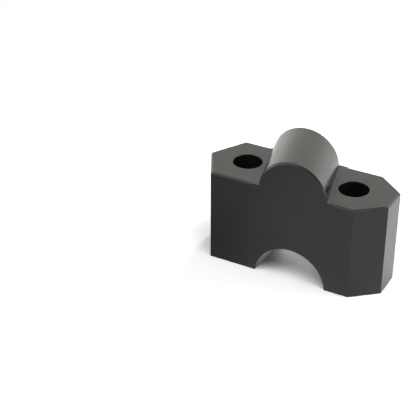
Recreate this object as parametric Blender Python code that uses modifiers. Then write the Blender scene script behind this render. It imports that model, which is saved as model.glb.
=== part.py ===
"""Motorcycle handlebar riser: one machined aluminium block.

The block stands on its two feet, with the bar recess between them.
The half-round boss that sits in the motorcycle's own clamp is on top.
X runs along the block towards the blunt end, Y runs from the front face to the back face, and Z is up.
The origin is on the surface that the feet stand on, under the middle of the block.
"""
import math

import bmesh
import bpy

# Driving dimensions of the block in metres
BLOCK_DEPTH = 0.0223
SHOULDER_HEIGHT = 0.0290
BLUNT_CORNER_LENGTH = 0.0077
BLUNT_CORNER_DEPTH = 0.0065
POINT_LENGTH = 0.00595

# Half-round boss that takes the place of the handlebar in the clamp
BOSS_RADIUS = 0.0103
BOSS_AXIS_DROP = 0.0007
BOSS_SKEW = math.radians(15)
BOSS_BASE_FILLET = 0.00015
BOSS_EDGE_CHAMFER = 0.0005

# Recess for the handlebar: its axis lies one rise below the boss's axis
RISE = 0.0295
RECESS_RADIUS = 0.0113
RECESS_OFFSET = 0.0030

# Through holes for the clamp bolts, on the block's middle plane, with the walls on both sides of them
BOLT_HOLE_DIAMETER = 0.0088
BOSS_TO_BOLT_HOLE = 0.00171
BOLT_HOLE_TO_END = 0.00793
HOLE_MOUTH_CHAMFER = 0.00015

# Chamfer along the shoulders' outer edges, cut by a cone-shaped tool that stops short of the boss
SHOULDER_CHAMFER = 0.0005
CHAMFER_TOOL_RADIUS = 0.0005
CHAMFER_TOOL_TIP_RADIUS = 0.00025
STOP_AT_SHARP_CORNER = 0.00212
STOP_AT_WIDE_CORNER = 0.00015

# Smoothness of the round faces
BOSS_SEGMENTS = 72
FILLET_SEGMENTS = 4
HOLE_SEGMENTS = 48
RECESS_SEGMENTS = 128
TOOL_SEGMENTS = 6

# How far a cutter reaches past the face that it cuts; the chamfer tool's reach stays clear of the boss
OVERCUT = 0.002
CHAMFER_TOOL_OVERCUT = 0.0001
STOCK_ABOVE_BOSS = 0.001

# Points closer than this are one point, on a cutter and on the cut block
WELD_DISTANCE = 0.0000001
CUT_WELD_DISTANCE = 0.000001

# Sides that meet at less than this angle are shaded as one smooth face
SHARP_EDGE_ANGLE = math.radians(20)

# Values worked out from the driving dimensions
BOSS_FOOT = BOSS_RADIUS / math.cos(BOSS_SKEW) + BOSS_BASE_FILLET
BOLT_HOLE_RADIUS = BOLT_HOLE_DIAMETER / 2
BOLT_HOLE_X = BOSS_FOOT + BOSS_TO_BOLT_HOLE + BOLT_HOLE_RADIUS
HALF_LENGTH = BOLT_HOLE_X + BOLT_HOLE_RADIUS + BOLT_HOLE_TO_END
HALF_DEPTH = BLOCK_DEPTH / 2
BOSS_AXIS_HEIGHT = SHOULDER_HEIGHT - BOSS_AXIS_DROP
BOSS_TOP = BOSS_AXIS_HEIGHT + BOSS_RADIUS
BOSS_SHIFT_PER_DEPTH = -math.tan(BOSS_SKEW)
RECESS_AXIS_HEIGHT = BOSS_AXIS_HEIGHT - RISE


def plan_outline():
    """Corners of the block in plan, counterclockwise from the front face's corner by the point."""
    shoulder_x = HALF_LENGTH - BLUNT_CORNER_LENGTH
    end_y = HALF_DEPTH - BLUNT_CORNER_DEPTH
    point_x = -HALF_LENGTH + POINT_LENGTH
    return [
        (point_x, -HALF_DEPTH),
        (shoulder_x, -HALF_DEPTH),
        (HALF_LENGTH, -end_y),
        (HALF_LENGTH, end_y),
        (shoulder_x, HALF_DEPTH),
        (point_x, HALF_DEPTH),
        (-HALF_LENGTH, 0.0),
    ]


def new_object(name, mesh_builder, collection):
    """Link an object whose mesh is made from a bmesh with outward faces."""
    mesh = bpy.data.meshes.new(name)
    bmesh.ops.remove_doubles(mesh_builder, verts=mesh_builder.verts, dist=WELD_DISTANCE)
    bmesh.ops.recalc_face_normals(mesh_builder, faces=mesh_builder.faces)
    mesh_builder.to_mesh(mesh)
    mesh_builder.free()
    new = bpy.data.objects.new(name, mesh)
    collection.objects.link(new)
    return new


def extruded_outline(name, corners, bottom, top, collection):
    """Solid prism over a plan outline."""
    builder = bmesh.new()
    base_verts = [builder.verts.new((x, y, bottom)) for x, y in corners]
    base = builder.faces.new(base_verts)
    lifted = bmesh.ops.extrude_face_region(builder, geom=[base])
    lifted_verts = [item for item in lifted["geom"] if isinstance(item, bmesh.types.BMVert)]
    bmesh.ops.translate(builder, verts=lifted_verts, vec=(0, 0, top - bottom))
    return new_object(name, builder, collection)


def loft(name, sections, collection):
    """Closed solid through sections that have the same number of points."""
    builder = bmesh.new()
    rings = [[builder.verts.new(point) for point in section] for section in sections]
    count = len(rings[0])
    for ring, following in zip(rings, rings[1:]):
        for index in range(count):
            after = (index + 1) % count
            builder.faces.new((ring[index], ring[after], following[after], following[index]))
    builder.faces.new(rings[0])
    builder.faces.new(rings[-1])
    bmesh.ops.dissolve_degenerate(builder, dist=WELD_DISTANCE, edges=builder.edges)
    return new_object(name, builder, collection)


def boss_centre_x(y):
    """Where the boss's axis crosses the depth y."""
    return BOSS_SHIFT_PER_DEPTH * y


def boss_section(y, radius):
    """Outline of everything above the shoulders and around the boss, at one depth."""
    half_width = radius / math.cos(BOSS_SKEW)
    fillet = BOSS_BASE_FILLET
    centre_x = boss_centre_x(y)
    fillet_angle = math.asin((fillet + BOSS_AXIS_DROP) / (radius + fillet))
    fillet_reach = (radius + fillet) * math.cos(fillet_angle) / math.cos(BOSS_SKEW)
    ceiling = BOSS_TOP + STOCK_ABOVE_BOSS + OVERCUT
    wall = HALF_LENGTH + OVERCUT
    points = [(wall, ceiling), (-wall, ceiling), (-wall, SHOULDER_HEIGHT)]
    for step in range(FILLET_SEGMENTS):
        turn = (math.pi / 2 - fillet_angle) * step / FILLET_SEGMENTS
        points.append((
            centre_x - fillet_reach + fillet * math.sin(turn) / math.cos(BOSS_SKEW),
            SHOULDER_HEIGHT + fillet - fillet * math.cos(turn),
        ))
    for step in range(BOSS_SEGMENTS + 1):
        angle = math.pi - fillet_angle - (math.pi - 2 * fillet_angle) * step / BOSS_SEGMENTS
        points.append((
            centre_x + half_width * math.cos(angle),
            BOSS_AXIS_HEIGHT + radius * math.sin(angle),
        ))
    for step in reversed(range(FILLET_SEGMENTS)):
        turn = (math.pi / 2 - fillet_angle) * step / FILLET_SEGMENTS
        points.append((
            centre_x + fillet_reach - fillet * math.sin(turn) / math.cos(BOSS_SKEW),
            SHOULDER_HEIGHT + fillet - fillet * math.cos(turn),
        ))
    points.append((wall, SHOULDER_HEIGHT))
    return [(x, y, z) for x, z in points]


def boss_cutter(collection):
    """Removes the stock around the boss and chamfers the boss's two end arcs."""
    chamfer = BOSS_EDGE_CHAMFER
    small_radius = BOSS_RADIUS - chamfer - OVERCUT
    sections = [
        boss_section(-HALF_DEPTH - OVERCUT, small_radius),
        boss_section(-HALF_DEPTH + chamfer, BOSS_RADIUS),
        boss_section(HALF_DEPTH - chamfer, BOSS_RADIUS),
        boss_section(HALF_DEPTH + OVERCUT, small_radius),
    ]
    return loft("boss_cutter", sections, collection)


def tool_section(centre, direction):
    """Half of the chamfer tool's profile, standing on its axis and facing one way."""
    low_radius = CHAMFER_TOOL_TIP_RADIUS
    low = SHOULDER_HEIGHT - SHOULDER_CHAMFER - (CHAMFER_TOOL_RADIUS - low_radius)
    high = SHOULDER_HEIGHT + CHAMFER_TOOL_OVERCUT
    high_radius = low_radius + high - low
    return [
        (centre[0], centre[1], low),
        (centre[0] + direction[0] * low_radius, centre[1] + direction[1] * low_radius, low),
        (centre[0] + direction[0] * high_radius, centre[1] + direction[1] * high_radius, high),
        (centre[0], centre[1], high),
    ]


def chamfer_cutter(name, path, collection):
    """Chamfers the shoulder's edges along a counterclockwise path, with round run-outs at both ends."""
    normals = []
    for (x0, y0), (x1, y1) in zip(path, path[1:]):
        length = math.hypot(x1 - x0, y1 - y0)
        normals.append(((y0 - y1) / length, (x1 - x0) / length))
    sections = []

    def run_out(corner, normal, start_turn, end_turn):
        centre = (corner[0] - normal[0] * CHAMFER_TOOL_RADIUS, corner[1] - normal[1] * CHAMFER_TOOL_RADIUS)
        for step in range(TOOL_SEGMENTS + 1):
            turn = start_turn + (end_turn - start_turn) * step / TOOL_SEGMENTS
            direction = (
                normal[0] * math.cos(turn) - normal[1] * math.sin(turn),
                normal[0] * math.sin(turn) + normal[1] * math.cos(turn),
            )
            sections.append(tool_section(centre, direction))

    run_out(path[0], normals[0], math.pi / 2, 0.0)
    for corner, before, after in zip(path[1:-1], normals, normals[1:]):
        bisector = (before[0] + after[0], before[1] + after[1])
        scale = 2 / (bisector[0] ** 2 + bisector[1] ** 2)
        mitre = (bisector[0] * scale, bisector[1] * scale)
        centre = (corner[0] - mitre[0] * CHAMFER_TOOL_RADIUS, corner[1] - mitre[1] * CHAMFER_TOOL_RADIUS)
        sections.append(tool_section(centre, mitre))
    run_out(path[-1], normals[-1], 0.0, -math.pi / 2)
    return loft(name, sections, collection)


def chamfer_stop(y, side):
    """Point on the face at depth y where the chamfer tool stops, on one side of the boss."""
    gap = STOP_AT_WIDE_CORNER if side * y < 0 else STOP_AT_SHARP_CORNER
    tool_reach = CHAMFER_TOOL_RADIUS + SHOULDER_CHAMFER + CHAMFER_TOOL_OVERCUT
    return (boss_centre_x(y) + side * (BOSS_FOOT + gap + tool_reach), y)


def bolt_hole_cutter(name, x, collection):
    """Turned cutter for one through hole and the chamfers at its two mouths."""
    wide = BOLT_HOLE_RADIUS + HOLE_MOUTH_CHAMFER + OVERCUT
    profile = [
        (0.0, SHOULDER_HEIGHT + OVERCUT),
        (wide, SHOULDER_HEIGHT + OVERCUT),
        (BOLT_HOLE_RADIUS, SHOULDER_HEIGHT - HOLE_MOUTH_CHAMFER),
        (BOLT_HOLE_RADIUS, HOLE_MOUTH_CHAMFER),
        (wide, -OVERCUT),
        (0.0, -OVERCUT),
    ]
    mesh = bpy.data.meshes.new(name)
    edges = [(index, index + 1) for index in range(len(profile) - 1)]
    mesh.from_pydata([(reach, 0.0, height) for reach, height in profile], edges, [])
    cutter = bpy.data.objects.new(name, mesh)
    cutter.location = (x, 0.0, 0.0)
    collection.objects.link(cutter)
    screw = cutter.modifiers.new("turn", "SCREW")
    screw.steps = HOLE_SEGMENTS
    screw.render_steps = HOLE_SEGMENTS
    screw.use_merge_vertices = True
    screw.merge_threshold = WELD_DISTANCE
    return cutter


def recess_cutter(collection):
    """Round bar across the underside, square to the front and back faces."""
    bpy.ops.mesh.primitive_cylinder_add(
        vertices=RECESS_SEGMENTS,
        radius=RECESS_RADIUS,
        depth=BLOCK_DEPTH + 2 * OVERCUT,
        location=(RECESS_OFFSET, 0.0, RECESS_AXIS_HEIGHT),
        rotation=(math.pi / 2, 0.0, 0.0),
    )
    cutter = bpy.context.object
    cutter.name = "recess_cutter"
    for holder in list(cutter.users_collection):
        holder.objects.unlink(cutter)
    collection.objects.link(cutter)
    return cutter


def anodised_aluminium():
    """Black anodised finish."""
    material = bpy.data.materials.new("black anodised aluminium")
    material.use_nodes = True
    shader = material.node_tree.nodes["Principled BSDF"]
    shader.inputs["Base Color"].default_value = (0.03, 0.03, 0.03, 1.0)
    shader.inputs["Roughness"].default_value = 0.35
    shader.inputs["Metallic"].default_value = 0.6
    return material


for leftover in list(bpy.data.objects):
    bpy.data.objects.remove(leftover)

parts = bpy.data.collections.new("bar_riser")
cutters = bpy.data.collections.new("cutters")
bpy.context.scene.collection.children.link(parts)
bpy.context.scene.collection.children.link(cutters)

riser = extruded_outline("riser_block", plan_outline(), 0.0, BOSS_TOP + STOCK_ABOVE_BOSS, parts)
riser.data.materials.append(anodised_aluminium())

corners = plan_outline()
blunt_path = [chamfer_stop(-HALF_DEPTH, 1), *corners[1:5], chamfer_stop(HALF_DEPTH, 1)]
point_path = [chamfer_stop(HALF_DEPTH, -1), corners[5], corners[6], corners[0], chamfer_stop(-HALF_DEPTH, -1)]

tools = [
    boss_cutter(cutters),
    recess_cutter(cutters),
    bolt_hole_cutter("blunt_hole_cutter", BOLT_HOLE_X, cutters),
    bolt_hole_cutter("point_hole_cutter", -BOLT_HOLE_X, cutters),
    chamfer_cutter("blunt_chamfer_cutter", blunt_path, cutters),
    chamfer_cutter("point_chamfer_cutter", point_path, cutters),
]
for tool in tools:
    tool.hide_render = True
    tool.display_type = "WIRE"
    cut = riser.modifiers.new(tool.name, "BOOLEAN")
    cut.operation = "DIFFERENCE"
    cut.solver = "MANIFOLD"
    cut.object = tool

weld = riser.modifiers.new("weld_cut_edges", "WELD")
weld.merge_threshold = CUT_WELD_DISTANCE

riser.data.shade_smooth()
riser.data.set_sharp_from_angle(angle=SHARP_EDGE_ANGLE)
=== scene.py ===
import math

import bmesh
import bpy
import numpy as np
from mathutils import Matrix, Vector


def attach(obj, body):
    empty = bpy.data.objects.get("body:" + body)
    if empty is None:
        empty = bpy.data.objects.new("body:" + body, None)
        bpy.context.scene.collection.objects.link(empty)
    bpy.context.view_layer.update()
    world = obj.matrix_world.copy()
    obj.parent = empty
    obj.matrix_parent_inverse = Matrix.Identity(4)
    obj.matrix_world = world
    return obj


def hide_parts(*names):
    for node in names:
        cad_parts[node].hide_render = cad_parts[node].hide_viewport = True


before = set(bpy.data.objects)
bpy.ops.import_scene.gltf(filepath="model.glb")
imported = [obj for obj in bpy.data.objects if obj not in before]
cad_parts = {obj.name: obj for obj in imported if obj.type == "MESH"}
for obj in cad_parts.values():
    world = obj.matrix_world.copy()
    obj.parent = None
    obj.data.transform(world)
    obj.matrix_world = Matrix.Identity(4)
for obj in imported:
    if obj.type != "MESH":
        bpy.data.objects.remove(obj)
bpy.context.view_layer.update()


# Riser block: one bar of aluminium, sawn, milled to outline and drilled, then anodised black.
# The half-round boss crosses its top at a slant and sits in the lower clamp, the recess below takes the
# handlebar, and a clamp bolt passes through the hole in each shoulder. Its sizes are in millimetres.
MM = 0.001
HALF_DEPTH = 11.15
HALF_LENGTH = 29.253
BLUNT_CORNER_LENGTH = 7.7
BLUNT_CORNER_DEPTH = 6.5
POINT_LENGTH = 5.95
SHOULDER = 29.0
HOLE_X = 16.923
HOLE_RADIUS = 4.4
MOUTH_CHAMFER = 0.15
BOSS_RADIUS = 10.3
BOSS_AXIS = 28.3
BOSS_SKEW = math.radians(15)
BOSS_FILLET = 0.15
BOSS_CHAMFER = 0.5
RECESS_X = 3.0
RECESS_AXIS = -1.2
RECESS_RADIUS = 11.3

# Chamfer along the shoulders' outer edges. Its cone-shaped cutter stops short of the boss, and further away
# where the boss meets the face at a sharp angle than where it meets it at a wide one.
EDGE_CHAMFER = 0.5
TOOL_RADIUS = 0.5
TOOL_REACH = 1.1
STOP_SHARP = 2.12
STOP_WIDE = 0.15

# Height on the faces up to which their columns stand upright; above it they lean over to the boss's foot
WAIST = 14.0

# Angle round the blunt end's hole, from the block's end, where the column of the boss's back foot stands
BLUNT_BACK_FOOT = math.radians(118)

# Fineness of the grids: length of a step along an edge, a step's share of the stretch that has no chamfer,
# numbers of steps, and rows of points as shares of the way across a face
EDGE_STEP = 0.45
PLAIN_EDGE_SHARE = 0.3
FILLET_STEPS = 5
ARC_STEPS = 110
RUN_OUT_STEPS = 8
HOLE_STEPS = 8
ONE_ROW = (0.0, 1.0)
TWO_ROWS = (0.0, 0.5, 1.0)
WALL_ROWS = (0.0, 0.33, 0.67, 1.0)

# The hole's opening is found by this many halvings, and a length below the tiny one counts as nothing
HALVINGS = 50
TINY = 0.000001


def spread(start, stop, step=EDGE_STEP):
    """Evenly spaced values from start to stop, about one step apart, both ends included."""
    count = max(1, round(abs(stop - start) / step))
    return np.linspace(start, stop, count + 1)


def join(*runs):
    """Runs of values or points end to end, where each run starts on the last value of the one before."""
    return np.concatenate([runs[0], *[run[1:] for run in runs[1:]]])


def boss_radius(y):
    """Radius at depth y: full between the end chamfers, less by the chamfer's 45 degrees beyond them."""
    return BOSS_RADIUS - np.maximum(0.0, np.abs(y) - (HALF_DEPTH - BOSS_CHAMFER))


def boss_centre(y):
    """The boss's axis crosses the depth y at minus y times the skew's tangent."""
    return -y * math.tan(BOSS_SKEW)


def boss_foot(y, side, radius=BOSS_RADIUS):
    """Where the foot's fillet meets the shoulder: under the centre of the circle that touches both."""
    drop = SHOULDER + BOSS_FILLET - BOSS_AXIS
    return boss_centre(y) + side * np.sqrt((radius + BOSS_FILLET) ** 2 - drop ** 2) / math.cos(BOSS_SKEW)


def recess_height(x):
    """Height of the bar recess over the floor at x, from its circle; 0 outside it."""
    inside = np.maximum(RECESS_RADIUS ** 2 - (x - RECESS_X) ** 2, 0.0)
    return np.maximum(RECESS_AXIS + np.sqrt(inside), 0.0)


def hole_radius(z):
    """Radius of a bolt hole at height z: straight, with a 45 degree chamfer at both mouths."""
    mouth = np.maximum(MOUTH_CHAMFER - z, z - (SHOULDER - MOUTH_CHAMFER))
    return HOLE_RADIUS + np.maximum(mouth, 0.0)


def hole_half_width(z, y):
    """Half of the hole's chord at height z and depth y, from Pythagoras; 0 outside the hole."""
    return np.sqrt(np.maximum(hole_radius(z) ** 2 - y ** 2, 0.0))


def opening_height(y):
    """Height at which the blunt end's hole opens into the recess at depth y, found by halving."""
    low, high = np.zeros(len(y)), np.full(len(y), RECESS_AXIS + RECESS_RADIUS)
    for _ in range(HALVINGS):
        middle = (low + high) / 2
        is_open = recess_height(HOLE_X - hole_half_width(middle, y)) > middle
        low, high = np.where(is_open, middle, low), np.where(is_open, high, middle)
    return np.where(high < TINY, 0.0, (low + high) / 2)


# Half of the recess's width on the floor, its two edges, how far from the middle the blunt end's hole still
# breaks into it there, where the boss's end chamfers start, and the depths at which the grids have points
recess_reach = math.sqrt(RECESS_RADIUS ** 2 - RECESS_AXIS ** 2)
recess_edge = {1: RECESS_X + recess_reach, -1: RECESS_X - recess_reach}
break_y = math.sqrt(hole_radius(0.0) ** 2 - (HOLE_X - recess_edge[1]) ** 2)
boss_flat = HALF_DEPTH - BOSS_CHAMFER
depths = join([-HALF_DEPTH, -boss_flat], spread(-boss_flat, -break_y), spread(-break_y, break_y),
              spread(break_y, boss_flat), [boss_flat, HALF_DEPTH])

# Corners of the block in plan, from front to back: the blunt end is side 1, the pointed one side -1
blunt_x = HALF_LENGTH - BLUNT_CORNER_LENGTH
blunt_y = HALF_DEPTH - BLUNT_CORNER_DEPTH
point_x = HALF_LENGTH - POINT_LENGTH
outline = {
    1: np.array([(blunt_x, -HALF_DEPTH), (HALF_LENGTH, -blunt_y),
                 (HALF_LENGTH, blunt_y), (blunt_x, HALF_DEPTH)]),
    -1: np.array([(-point_x, -HALF_DEPTH), (-HALF_LENGTH, 0.0), (-point_x, HALF_DEPTH)]),
}

# The block's surface, as grids of points, and its knife points, where faces meet at a very sharp angle:
# at the ends of the edge chamfer, and where the blunt end's hole opens into the recess
sheets = []
knife_points = []


def add_sheet(points):
    """Keeps a grid of points, rows by columns by xyz, whose neighbours are joined by four-sided faces."""
    sheets.append(np.asarray(points, float))


def between(first, last, shares):
    """Rows of points at the given shares of the way from one line of points to another."""
    shares = np.asarray(shares, float)[:, None, None]
    return first[None] * (1 - shares) + last[None] * shares


def at_height(xy, z):
    """Plan points lifted to a height, or to one height each."""
    return np.column_stack([xy, np.broadcast_to(z, len(xy))])


def along_path(points, shares, z):
    """Points on each straight run of a path in plan, at that run's shares of its length and one height."""
    runs = zip(points[:-1], points[1:], shares)
    return join(*[at_height(between(first[None], last[None], run_shares)[:, 0], z)
                  for first, last, run_shares in runs])


def chamfer_stop(y, side):
    """Where the edge chamfer ends on the front or back face: past the boss's side by its fillet, by the
    cutter's reach, and by the stop for a sharp or a wide angle."""
    stop = STOP_WIDE if side * y < 0 else STOP_SHARP
    past_centre = BOSS_RADIUS / math.cos(BOSS_SKEW) + BOSS_FILLET + TOOL_REACH + stop
    return np.array([boss_centre(y) + side * past_centre, y])


def run_out(stop, inward, along):
    """End of the edge chamfer: a cone-shaped cutter leaves the edge, so the chamfer narrows to nothing.
    At each turn of the cone the lower point is on the wall and the upper one on the shoulder."""
    turns = np.linspace(0.0, math.acos(TOOL_RADIUS / (TOOL_RADIUS + EDGE_CHAMFER)), RUN_OUT_STEPS + 1)
    ways = np.outer(np.cos(turns), inward) + np.outer(np.sin(turns), along)
    centre = stop - inward * TOOL_RADIUS
    reach = TOOL_RADIUS / np.cos(turns)
    low = at_height(centre + ways * reach[:, None], SHOULDER - EDGE_CHAMFER + reach - TOOL_RADIUS)
    high = at_height(centre + ways * (TOOL_RADIUS + EDGE_CHAMFER), SHOULDER)
    return low, high


def seen_from_hole(points, side):
    """Angle of each point round the side's hole, measured from the block's end."""
    return np.arctan2(points[:, 1], side * points[:, 0] - HOLE_X)


def hole_ring(z, angles, side):
    """Points of the side's hole at the given heights and angles, on the circle of that height's radius."""
    radius = hole_radius(z)
    return np.column_stack([side * (HOLE_X + radius * np.cos(angles)), radius * np.sin(angles), z])


for side in (1, -1):
    # Outer edge from the boss's foot in front, round the end, to its foot at the back
    corners = outline[side]
    path = np.array([chamfer_stop(-HALF_DEPTH, side), *corners, chamfer_stop(HALF_DEPTH, side)])
    runs = np.diff(path, axis=0)
    lengths = np.linalg.norm(runs, axis=1)
    runs /= lengths[:, None]
    inwards = side * np.column_stack([-runs[:, 1], runs[:, 0]])
    mitres = inwards[:-1] + inwards[1:]
    mitres *= (2 / (mitres ** 2).sum(1))[:, None]
    inset = path + EDGE_CHAMFER * np.array([inwards[0], *mitres, inwards[-1]])
    shares = [spread(0.0, 1.0, EDGE_STEP / length) for length in lengths]
    front_low, front_high = run_out(path[0], inwards[0], -runs[0])
    back_low, back_high = run_out(path[-1], inwards[-1], runs[-1])
    front_foot = np.array([[boss_foot(-HALF_DEPTH, side), -HALF_DEPTH, SHOULDER]])
    back_foot = np.array([[boss_foot(HALF_DEPTH, side), HALF_DEPTH, SHOULDER]])
    plain_shares = spread(0.0, 1.0, PLAIN_EDGE_SHARE)
    front_plain = between(front_foot, front_low[-1:], plain_shares)[:, 0]
    back_plain = between(back_low[-1:], back_foot, plain_shares)[:, 0]
    low = join(front_plain, front_low[::-1], along_path(path, shares, SHOULDER - EDGE_CHAMFER),
               back_low, back_plain)
    high = join(front_plain, front_high[::-1], along_path(inset, shares, SHOULDER), back_high, back_plain)
    knife_points.extend([front_high[-1], back_high[-1]])

    # The same columns on the floor, where the feet reach from the outline to the recess
    ground = at_height(low[:, :2], 0.0)
    for y, corner in ((-HALF_DEPTH, corners[0]), (HALF_DEPTH, corners[-1])):
        on_face = np.isclose(ground[:, 1], y)
        foot_x = boss_foot(y, side)
        share = (ground[on_face, 0] - corner[0]) / (foot_x - corner[0])
        ground[on_face, 0] = corner[0] + share * (recess_edge[side] - corner[0])

    # Inner edge along the boss's foot above and the recess's edge below, from back to front
    inner_y = depths[::-1]
    foot_line = np.column_stack([boss_foot(inner_y, side), inner_y, np.full(len(inner_y), SHOULDER)])
    edge_line = np.column_stack([np.full(len(inner_y), recess_edge[side]), inner_y, np.zeros(len(inner_y))])

    # Angle of each column round the hole, and the height at which the hole opens into the recess
    anchors = seen_from_hole(np.vstack([high[:1, :2], corners, high[-1:, :2]]), side)
    inner_low = np.zeros(len(inner_y))
    if side > 0:
        anchors[-1] = BLUNT_BACK_FOOT
        broken = np.abs(inner_y) <= break_y + TINY
        inner_low = np.where(broken, opening_height(inner_y), 0.0)
        meets = np.arctan2(inner_y, -hole_half_width(inner_low, inner_y))
        last = meets[broken][0]
        inner_angles = np.where(broken, np.mod(meets, 2 * math.pi), 0.0)
        behind = inner_y > break_y + TINY
        before = inner_y < -break_y - TINY
        inner_angles[behind] = np.interp(-inner_y[behind], [-HALF_DEPTH, -break_y], [anchors[-1], last])
        inner_angles[before] = 2 * math.pi + np.interp(inner_y[before], [-HALF_DEPTH, -break_y],
                                                       [anchors[0], -last])
        recess_start, recess_start_y = inner_low[::-1], inner_y[::-1]
        knife_points.extend([(recess_edge[side], -break_y, 0.0), (recess_edge[side], break_y, 0.0)])
    else:
        broken = np.zeros(len(inner_y), bool)
        inner_angles = np.mod(seen_from_hole(foot_line, side), 2 * math.pi)
    marks = [int(np.argmin(np.linalg.norm(low[:, :2] - corner, axis=1))) for corner in corners]
    outer_angles = np.interp(np.arange(len(low)), [0, *marks, len(low) - 1], anchors)
    angles = join(outer_angles, inner_angles)
    bottom = join(np.zeros(len(low)), inner_low)

    # Shoulder round the hole, the hole's wall with a chamfer at each mouth, and the foot's underside
    mouth = hole_ring(np.full(len(angles), SHOULDER), angles, side)
    lip = hole_ring(np.full(len(angles), SHOULDER - MOUTH_CHAMFER), angles, side)
    low_lip = hole_ring(np.maximum(bottom, MOUTH_CHAMFER), angles, side)
    low_mouth = hole_ring(bottom, angles, side)
    add_sheet(between(join(high, foot_line), mouth, TWO_ROWS))
    add_sheet(between(mouth, lip, ONE_ROW))
    add_sheet(between(lip, low_lip, np.linspace(0.0, 1.0, HOLE_STEPS + 1)))
    add_sheet(between(low_lip, low_mouth, ONE_ROW))
    foot = between(low_mouth, join(ground, edge_line), TWO_ROWS)
    open_columns = np.flatnonzero(join(np.zeros(len(low), bool), broken))
    if len(open_columns):
        add_sheet(foot[:, :open_columns[0] + 1])
        add_sheet(foot[:, open_columns[-1]:])
    else:
        add_sheet(foot)

    # Edge chamfer, and the walls below it
    add_sheet(between(low, high, ONE_ROW))
    waist = at_height(ground[:, :2], WAIST)
    add_sheet(join(between(ground, waist, WALL_ROWS), between(waist, low, WALL_ROWS)))

    # The boss's end chamfer uncovers a small triangle of the shoulder, and one of the face below it
    for y, knee in ((-HALF_DEPTH, -boss_flat), (HALF_DEPTH, boss_flat)):
        narrow_foot = (boss_foot(y, side, boss_radius(y)), y, SHOULDER)
        uncovered = np.array([narrow_foot, (boss_foot(y, side), y, SHOULDER)])
        full_foot = np.array([(boss_foot(knee, side), knee, SHOULDER)] * 2)
        waist_end = np.array([(recess_edge[side], y, WAIST)] * 2)
        add_sheet(between(full_foot, uncovered, ONE_ROW))
        add_sheet(between(waist_end, uncovered, WALL_ROWS))

# Boss: fillet, arc and fillet at each depth, from the blunt side to the pointed one
radius = boss_radius(depths)[:, None]
centre = boss_centre(depths)[:, None]
fillet_angle = np.arcsin((BOSS_FILLET + SHOULDER - BOSS_AXIS) / (radius + BOSS_FILLET))
turn = (math.pi / 2 - fillet_angle) * np.linspace(0.0, 1.0, FILLET_STEPS + 1)[:-1]
fillet_x = (radius + BOSS_FILLET) * np.cos(fillet_angle) - BOSS_FILLET * np.sin(turn)
fillet_z = SHOULDER + BOSS_FILLET - BOSS_FILLET * np.cos(turn)
sweep = fillet_angle + (math.pi - 2 * fillet_angle) * np.linspace(0.0, 1.0, ARC_STEPS + 1)
boss_x = np.hstack([fillet_x, radius * np.cos(sweep), -fillet_x[:, ::-1]]) / math.cos(BOSS_SKEW) + centre
boss_z = np.hstack([fillet_z, BOSS_AXIS + radius * np.sin(sweep), fillet_z[:, ::-1]])
boss = np.dstack([boss_x, np.broadcast_to(depths[:, None], boss_x.shape), boss_z])
add_sheet(boss)

# Recess: the bar's circle at each depth, from the blunt foot's edge or from where the hole opens into it
columns = boss.shape[1]
opened = recess_start > 0
start_x = np.where(opened, HOLE_X - hole_half_width(recess_start, recess_start_y), recess_edge[1])
start = np.arctan2(np.where(opened, recess_start, 0.0) - RECESS_AXIS, start_x - RECESS_X)
end = math.atan2(-RECESS_AXIS, -recess_reach)
arc = start[:, None] + (end - start[:, None]) * np.linspace(0.0, 1.0, columns)
recess = np.dstack([RECESS_X + RECESS_RADIUS * np.cos(arc), np.broadcast_to(depths[:, None], arc.shape),
                    RECESS_AXIS + RECESS_RADIUS * np.sin(arc)])
add_sheet(recess)

# Middle of the front and back faces: from the recess's arc to the waist, to the boss's chord, to its arc
for row in (0, -1):
    across = np.linspace(0.0, 1.0, columns)[:, None]
    waist = at_height((recess[row, :1] * (1 - across) + recess[row, -1:] * across)[:, :2], WAIST)
    chord = boss[row, :1] * (1 - across) + boss[row, -1:] * across
    add_sheet(join(between(recess[row], waist, WALL_ROWS), between(waist, chord, WALL_ROWS),
                   between(chord, boss[row], TWO_ROWS)))

# Points closer than the weld are made one, and faces or sides thinner than the sliver are taken out
WELD = 0.002
SLIVER = 0.0001


def sheets_to_mesh(name, grids):
    """One mesh from grids of points: neighbours become quads, and points that coincide become one."""
    verts, faces, first = [], [], 0
    for grid in grids:
        rows, columns = grid.shape[:2]
        index = first + np.arange(rows * columns).reshape(rows, columns)
        quads = np.stack([index[:-1, :-1], index[:-1, 1:], index[1:, 1:], index[1:, :-1]], -1)
        faces.append(quads.reshape(-1, 4))
        verts.append(grid.reshape(-1, 3) * MM)
        first += rows * columns
    mesh = bpy.data.meshes.new(name)
    mesh.from_pydata(np.concatenate(verts).tolist(), [], np.concatenate(faces).tolist())
    builder = bmesh.new()
    builder.from_mesh(mesh)
    bmesh.ops.remove_doubles(builder, verts=builder.verts, dist=WELD * MM)
    bmesh.ops.dissolve_degenerate(builder, dist=SLIVER * MM, edges=builder.edges)
    bmesh.ops.recalc_face_normals(builder, faces=builder.faces)
    builder.to_mesh(mesh)
    builder.free()
    return mesh


# Deburring and anodising leave a small round on every edge whose faces turn by more than the sharp angle.
# It fades out towards a knife point.
EDGE_BREAK = 0.08
EDGE_BREAK_STEPS = 3
KNIFE_FADE = 1.5
SHARP_ANGLE = math.radians(25)


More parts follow.
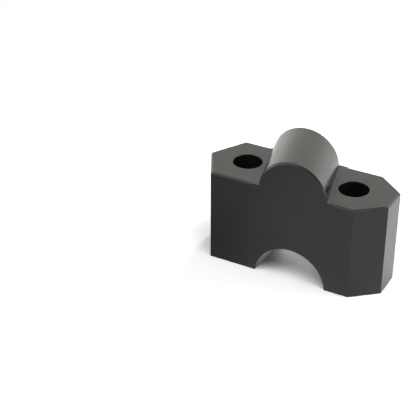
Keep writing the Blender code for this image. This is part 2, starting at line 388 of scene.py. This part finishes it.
def break_edges(mesh, knives):
    """Bevel weight of each edge: 1 where its two faces turn by more than the sharp angle, else 0.
    Near a knife point it is the distance from there over the length of the fade."""
    normals = np.empty(3 * len(mesh.polygons))
    mesh.polygons.foreach_get("normal", normals)
    corners = np.empty(len(mesh.polygons), int)
    mesh.polygons.foreach_get("loop_total", corners)
    edge_index = np.empty(len(mesh.loops), int)
    mesh.loops.foreach_get("edge_index", edge_index)
    ends = np.empty(2 * len(mesh.edges), int)
    mesh.edges.foreach_get("vertices", ends)
    places = np.empty(3 * len(mesh.vertices))
    mesh.vertices.foreach_get("co", places)
    by_edge = np.argsort(edge_index, kind="stable")
    faces = np.repeat(np.arange(len(corners)), corners)[by_edge].reshape(-1, 2)
    first, second = normals.reshape(-1, 3)[faces].swapaxes(0, 1)
    middle = places.reshape(-1, 3)[ends.reshape(-1, 2)].mean(1) / MM
    distance = np.linalg.norm(middle[:, None] - np.array(knives)[None], axis=2).min(1)
    sharp = (first * second).sum(1) < math.cos(SHARP_ANGLE)
    weights = np.where(sharp, np.clip(distance / KNIFE_FADE, 0.0, 1.0), 0.0)
    mesh.attributes.new("bevel_weight_edge", "FLOAT", "EDGE").data.foreach_set("value", weights)


def linear(hex_colour):
    """sRGB hex to linear RGBA: a very dark channel is divided by 12.92, any other goes through a power."""
    channels = np.array([int(hex_colour[i:i + 2], 16) for i in (1, 3, 5)]) / 255.0
    bent = np.where(channels <= 0.04045, channels / 12.92, ((channels + 0.055) / 1.055) ** 2.4)
    return (*bent.tolist(), 1.0)


def add_node(tree, kind, settings=None, inputs=None):
    """Adds one node, sets its properties, and gives each input a value or a link from an output socket."""
    node = tree.nodes.new(kind)
    for name, value in (settings or {}).items():
        setattr(node, name, value)
    for name, value in (inputs or {}).items():
        if isinstance(value, bpy.types.NodeSocket):
            tree.links.new(value, node.inputs[name])
        else:
            node.inputs[name].default_value = value
    return node


# Dye in the oxide film at its darkest and lightest, the film's index of refraction, which is that of
# aluminium oxide, and its roughness, that of a satin
DYE_DARK = "#171615"
DYE_LIGHT = "#201e1c"
FILM_IOR = 1.7
SATIN_LOW = 0.20
SATIN_HIGH = 0.27

# Real blasting grit leaves pits of about 0.08 mm, too fine to show in the render, so they are drawn at
# 0.5 mm. Milling marks are 0.6 mm apart and stand upright on the walls, 20 times as tall as they are wide,
# and the dye varies over about 6 mm.
GRIT = 0.5
MILLING = 0.6
DYE_PATCH = 6.0
MARK_STRETCH = (1.0, 1.0, 0.05)

# Depth of the relief, and the shares of it that the marks and the grit have. The level shoulders are
# rougher than the walls, with more grit and less gloss.
RELIEF = 0.1
MILLING_SHARE = 0.12
GRIT_SHARE = 0.3
SHOULDER_GRIT_SHARE = 1.0
SHOULDER_DULLER = 0.2

# Upward part of a level face's normal, and the range that holds most of a noise's values
LEVEL_FROM = 0.5
LEVEL_TO = 0.95
NOISE_LOW = 0.3
NOISE_HIGH = 0.7


def black_anodised_aluminium():
    """Milled, blasted to a satin and dyed in the anodising bath. The eye sees a clear, glassy oxide film
    over near-black and no bare metal: the gloss is colourless, faint when faced and bright at a glance."""
    material = bpy.data.materials.new("black_anodised_aluminium")
    material.use_nodes = True
    tree = material.node_tree
    tree.nodes.clear()
    place = add_node(tree, "ShaderNodeTexCoord")

    # Mask of the shoulders: 1 on level faces that are no higher than they are
    surface = add_node(tree, "ShaderNodeNewGeometry")
    facing = add_node(tree, "ShaderNodeSeparateXYZ", {}, {"Vector": surface.outputs["Normal"]})
    axes = add_node(tree, "ShaderNodeSeparateXYZ", {}, {"Vector": place.outputs["Object"]})
    level = add_node(tree, "ShaderNodeMapRange", {"interpolation_type": "SMOOTHSTEP"}, {
        "Value": facing.outputs["Z"], "From Min": LEVEL_FROM, "From Max": LEVEL_TO})
    below = add_node(tree, "ShaderNodeMapRange", {"interpolation_type": "SMOOTHSTEP"}, {
        "Value": axes.outputs["Z"], "From Min": SHOULDER * MM, "From Max": (SHOULDER + BOSS_FILLET) * MM,
        "To Min": 1.0, "To Max": 0.0})
    shoulders = add_node(tree, "ShaderNodeMath", {"operation": "MULTIPLY"}, {
        0: level.outputs["Result"], 1: below.outputs["Result"]})

    # Relief: upright milling marks, with the grit's pits over them
    stretched = add_node(tree, "ShaderNodeMapping", {}, {
        "Vector": place.outputs["Object"], "Scale": MARK_STRETCH})
    marks = add_node(tree, "ShaderNodeTexNoise", {}, {
        "Vector": stretched.outputs["Vector"], "Scale": 1 / (MILLING * MM),
        "Detail": 2.0, "Roughness": 0.5})
    pits = add_node(tree, "ShaderNodeTexNoise", {}, {
        "Vector": place.outputs["Object"], "Scale": 1 / (GRIT * MM), "Detail": 1.0, "Roughness": 0.5})
    grain = add_node(tree, "ShaderNodeMapRange", {}, {
        "Value": shoulders.outputs[0], "To Min": GRIT_SHARE, "To Max": SHOULDER_GRIT_SHARE})
    milled = add_node(tree, "ShaderNodeBump", {}, {
        "Height": marks.outputs["Fac"], "Strength": MILLING_SHARE, "Distance": RELIEF * MM})
    blasted = add_node(tree, "ShaderNodeBump", {}, {
        "Height": pits.outputs["Fac"], "Strength": grain.outputs["Result"], "Distance": RELIEF * MM,
        "Normal": milled.outputs["Normal"]})

    # Colour and gloss vary together, in the dye's patches
    patches = add_node(tree, "ShaderNodeTexNoise", {}, {
        "Vector": place.outputs["Object"], "Scale": 1 / (DYE_PATCH * MM), "Detail": 4.0, "Roughness": 0.6})
    dye = add_node(tree, "ShaderNodeMapRange", {}, {
        "Value": patches.outputs["Fac"], "From Min": NOISE_LOW, "From Max": NOISE_HIGH})
    black = add_node(tree, "ShaderNodeMix", {"data_type": "RGBA"}, {
        0: dye.outputs["Result"], 6: linear(DYE_DARK), 7: linear(DYE_LIGHT)})
    satin = add_node(tree, "ShaderNodeMapRange", {}, {
        "Value": patches.outputs["Fac"], "From Min": NOISE_LOW, "From Max": NOISE_HIGH,
        "To Min": SATIN_LOW, "To Max": SATIN_HIGH})
    finish = add_node(tree, "ShaderNodeMath", {"operation": "MULTIPLY_ADD"}, {
        0: shoulders.outputs[0], 1: SHOULDER_DULLER, 2: satin.outputs["Result"]})
    shader = add_node(tree, "ShaderNodeBsdfPrincipled", {}, {
        "Base Color": black.outputs[2], "Roughness": finish.outputs[0], "IOR": FILM_IOR,
        "Normal": blasted.outputs["Normal"]})
    add_node(tree, "ShaderNodeOutputMaterial", {}, {"Surface": shader.outputs["BSDF"]})
    return material


block_mesh = sheets_to_mesh("riser_block_surface", sheets)
break_edges(block_mesh, knife_points)
block_mesh.shade_smooth()
block = bpy.data.objects.new("riser_block_surface", block_mesh)
bpy.context.scene.collection.objects.link(block)
block_mesh.materials.append(black_anodised_aluminium())
bevel = block.modifiers.new("broken_edges", "BEVEL")
bevel.width = EDGE_BREAK * MM
bevel.segments = EDGE_BREAK_STEPS
bevel.limit_method = "WEIGHT"
bevel.use_clamp_overlap = False
bevel.harden_normals = True
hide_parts("riser_block")
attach(block, "root")


# Floor: a table top in matt white paint. The camera sees it exposed to white, with the block's shadow. Rays
# that the block mirrors find a painted glow on it instead, uneven like a studio's light: dim in front,
# darkest at the left under a painted shade, brighter at the right and brightest behind. Its places are in
# metres.
PAINT_WHITE = "#f2f2f2"
EXPOSED_WHITE = "#fdfffe"
EXPOSURE = 1.6
FLOOR_REACH = 6.0

# Brightness of the painted glow on the mirrored table, and where each brightness gives way to the next
LEFT_GLOW = 0.33
FRONT_GLOW = 0.52
FRONT_LEFT_X = -0.045
FRONT_RIGHT_X = -0.010
# Painted shade in the glow at the left: darkest near its place, and gone at the far distance
PAINTED_SHADE_GLOW = 0.25
PAINTED_SHADE_PLACE = (-0.040, -0.012, 0.0)
PAINTED_SHADE_NEAR = 0.010
PAINTED_SHADE_FAR = 0.045
RIGHT_GLOW = 0.64
RIGHT_NEAR_X = 0.018
RIGHT_FAR_X = 0.035
BEHIND_GLOW = 1.25
FRONT_Y = -0.012
BEHIND_Y = 0.015

# Under the recess the painted glow is cut to this share, a painted shade, and the rest of what is mirrored
# there is the paint as the lamps light and shade it
ARCH_SHARE = 0.6
ARCH_CENTRE = (0.003, 0.0, 0.0)
ARCH_NEAR = 0.010
ARCH_FAR = 0.022

# Distance from the block over which the camera's view of the table goes over into plain white
WHITE_NEAR = 0.10
WHITE_FAR = 0.25


def matt_white_paint():
    """Smooth wall paint on a table: no gloss, so the eye sees only its white and the shadow on it. What the
    block mirrors of it is a painted glow, with a painted shade at the left.
    """
    material = bpy.data.materials.new("matt_white_paint")
    material.use_nodes = True
    tree = material.node_tree
    tree.nodes.clear()
    tint = linear(EXPOSED_WHITE)
    paint = add_node(tree, "ShaderNodeBsdfDiffuse", {}, {"Color": linear(PAINT_WHITE)})
    exposed = add_node(tree, "ShaderNodeBsdfDiffuse", {}, {
        "Color": (*(EXPOSURE * channel for channel in tint[:3]), 1.0)})
    place = add_node(tree, "ShaderNodeTexCoord")
    axes = add_node(tree, "ShaderNodeSeparateXYZ", {}, {"Vector": place.outputs["Object"]})

    # The painted glow of the mirrored table, from the left to the front, past the painted shade, to the
    # right and to what is behind
    front = add_node(tree, "ShaderNodeMapRange", {"interpolation_type": "SMOOTHSTEP"}, {
        "Value": axes.outputs["X"], "From Min": FRONT_LEFT_X, "From Max": FRONT_RIGHT_X,
        "To Min": LEFT_GLOW, "To Max": FRONT_GLOW})
    from_painted_shade = add_node(tree, "ShaderNodeVectorMath", {"operation": "DISTANCE"}, {
        0: place.outputs["Object"], 1: PAINTED_SHADE_PLACE})
    with_painted_shade = add_node(tree, "ShaderNodeMapRange", {"interpolation_type": "SMOOTHSTEP"}, {
        "Value": from_painted_shade.outputs["Value"], "From Min": PAINTED_SHADE_NEAR, "From Max": PAINTED_SHADE_FAR,
        "To Min": PAINTED_SHADE_GLOW, "To Max": front.outputs["Result"]})
    right = add_node(tree, "ShaderNodeMapRange", {"interpolation_type": "SMOOTHSTEP"}, {
        "Value": axes.outputs["X"], "From Min": RIGHT_NEAR_X, "From Max": RIGHT_FAR_X,
        "To Min": with_painted_shade.outputs["Result"], "To Max": RIGHT_GLOW})
    behind = add_node(tree, "ShaderNodeMapRange", {"interpolation_type": "SMOOTHSTEP"}, {
        "Value": axes.outputs["Y"], "From Min": FRONT_Y, "From Max": BEHIND_Y,
        "To Min": right.outputs["Result"], "To Max": BEHIND_GLOW})
    glow = add_node(tree, "ShaderNodeEmission", {}, {"Color": tint, "Strength": behind.outputs["Result"]})
    # Painted shade under the recess: less of the glow, and more of the lamp-lit paint
    from_arch = add_node(tree, "ShaderNodeVectorMath", {"operation": "DISTANCE"}, {
        0: place.outputs["Object"], 1: ARCH_CENTRE})
    share = add_node(tree, "ShaderNodeMapRange", {"interpolation_type": "SMOOTHSTEP"}, {
        "Value": from_arch.outputs["Value"], "From Min": ARCH_NEAR, "From Max": ARCH_FAR,
        "To Min": ARCH_SHARE})
    mirrored = add_node(tree, "ShaderNodeMixShader", {}, {
        "Fac": share.outputs["Result"], 1: exposed.outputs[0], 2: glow.outputs[0]})

    # The table that the camera sees, white far out
    backdrop = add_node(tree, "ShaderNodeEmission", {}, {"Color": linear("#ffffff"), "Strength": 1.0})
    reach = add_node(tree, "ShaderNodeVectorMath", {"operation": "LENGTH"}, {0: place.outputs["Object"]})
    away = add_node(tree, "ShaderNodeMapRange", {"interpolation_type": "SMOOTHSTEP"}, {
        "Value": reach.outputs["Value"], "From Min": WHITE_NEAR, "From Max": WHITE_FAR})
    seen = add_node(tree, "ShaderNodeMixShader", {}, {
        "Fac": away.outputs["Result"], 1: exposed.outputs[0], 2: backdrop.outputs[0]})
    path = add_node(tree, "ShaderNodeLightPath")
    unseen = add_node(tree, "ShaderNodeMixShader", {}, {
        "Fac": path.outputs["Is Glossy Ray"], 1: paint.outputs[0], 2: mirrored.outputs[0]})
    pick = add_node(tree, "ShaderNodeMixShader", {}, {
        "Fac": path.outputs["Is Camera Ray"], 1: unseen.outputs[0], 2: seen.outputs[0]})
    add_node(tree, "ShaderNodeOutputMaterial", {}, {"Surface": pick.outputs[0]})
    return material


floor_mesh = bpy.data.meshes.new("floor")
floor_mesh.from_pydata([(-FLOOR_REACH, -FLOOR_REACH, 0), (FLOOR_REACH, -FLOOR_REACH, 0),
                        (FLOOR_REACH, FLOOR_REACH, 0), (-FLOOR_REACH, FLOOR_REACH, 0)], [], [(0, 1, 2, 3)])
floor_mesh.materials.append(matt_white_paint())
floor = bpy.data.objects.new("floor", floor_mesh)
bpy.context.scene.collection.objects.link(floor)


# Surround: a white room, of whose light little reaches matt surfaces. What the block mirrors of it is
# bright, most at the horizon, and dark on the one side from which the picture is taken.
ROOM_WHITE = "#fffef9"
ROOM_LIGHT = 0.08
HORIZON_GLOW = 1.5
CEILING_GLOW = 0.98
CEILING_FROM = 0.55
DARK_SIDE = (0.3475, -0.786, 0.511)
DARK_GLOW_SHARE = 0.15
DARK_EDGE = 0.6
DARK_FULL = 0.95

world = bpy.data.worlds.new("studio")
world.use_nodes = True
tree = world.node_tree
tree.nodes.clear()
direction = add_node(tree, "ShaderNodeTexCoord")
axes = add_node(tree, "ShaderNodeSeparateXYZ", {}, {"Vector": direction.outputs["Generated"]})
level = add_node(tree, "ShaderNodeMapRange", {"interpolation_type": "SMOOTHSTEP"}, {
    "Value": axes.outputs["Z"], "From Min": 0.0, "From Max": CEILING_FROM,
    "To Min": HORIZON_GLOW, "To Max": CEILING_GLOW})
toward = add_node(tree, "ShaderNodeVectorMath", {"operation": "DOT_PRODUCT"}, {
    0: direction.outputs["Generated"], 1: DARK_SIDE})
shade = add_node(tree, "ShaderNodeMapRange", {"interpolation_type": "SMOOTHSTEP"}, {
    "Value": toward.outputs["Value"], "From Min": DARK_EDGE, "From Max": DARK_FULL,
    "To Min": 1.0, "To Max": DARK_GLOW_SHARE})
brightness = add_node(tree, "ShaderNodeMath", {"operation": "MULTIPLY"}, {
    0: level.outputs["Result"], 1: shade.outputs["Result"]})
dim = add_node(tree, "ShaderNodeBackground", {}, {"Color": linear("#ffffff"), "Strength": ROOM_LIGHT})
room = add_node(tree, "ShaderNodeBackground", {}, {
    "Color": linear(ROOM_WHITE), "Strength": brightness.outputs[0]})
white = add_node(tree, "ShaderNodeBackground", {}, {"Color": linear("#ffffff"), "Strength": 1.0})
path = add_node(tree, "ShaderNodeLightPath")
unseen = add_node(tree, "ShaderNodeMixShader", {}, {
    "Fac": path.outputs["Is Glossy Ray"], 1: dim.outputs[0], 2: room.outputs[0]})
pick = add_node(tree, "ShaderNodeMixShader", {}, {
    "Fac": path.outputs["Is Camera Ray"], 1: unseen.outputs[0], 2: white.outputs[0]})
add_node(tree, "ShaderNodeOutputWorld", {}, {"Surface": pick.outputs[0]})
bpy.context.scene.world = world


# Lamps: four square softboxes, their places and sizes in metres and their power in watts. The one behind and
# the one at the left only soften the block's shadow, the one in front is the main light, and the small key
# at the right also shows in the gloss.
def softbox(name, place, size, power, target=(0.0, 0.0, 0.0), mirrored=False):
    """A square area lamp that faces a point. Unless it is mirrored, gloss finds the surround behind it."""
    light = bpy.data.lights.new(name, "AREA")
    light.size = size
    light.energy = power
    lamp = bpy.data.objects.new(name, light)
    lamp.location = place
    lamp.rotation_euler = (Vector(target) - Vector(place)).to_track_quat("-Z", "Y").to_euler()
    lamp.visible_glossy = mirrored
    bpy.context.scene.collection.objects.link(lamp)


softbox("key", place=(0.34, 0.2, 0.26), size=0.3, power=0.5, target=(0.03, 0.03, 0.0), mirrored=True)
softbox("back", place=(0.0, 0.693, 0.4), size=0.25, power=1.9)
softbox("left", place=(-0.42, -0.42, 0.53), size=0.4, power=0.9)
softbox("front", place=(0.19, -0.22, 0.74), size=0.6, power=3.5)


# Camera: at the photograph's own angle and distance, found by fitting the block's edges to it, with a
# lens that gives the photograph's frame. Its place is in metres, its sensor and lens are in millimetres.
SENSOR_WIDTH = 36.0
FOCAL_LENGTH = 97.316
NEAREST = 0.01
CAMERA_PLACE = (0.11565, -0.26154, 0.18726)
LOOKING_DOWN = math.radians(30.7517)
TURNED_LEFT = math.radians(29.1828)

lens = bpy.data.cameras.new("camera")
lens.sensor_width = SENSOR_WIDTH
lens.lens = FOCAL_LENGTH
lens.clip_start = NEAREST
camera = bpy.data.objects.new("camera", lens)
camera.location = CAMERA_PLACE
camera.rotation_euler = (math.pi / 2 - LOOKING_DOWN, 0.0, TURNED_LEFT)
bpy.context.scene.collection.objects.link(camera)
bpy.context.scene.camera = camera
bpy.context.scene.view_settings.view_transform = "Standard"
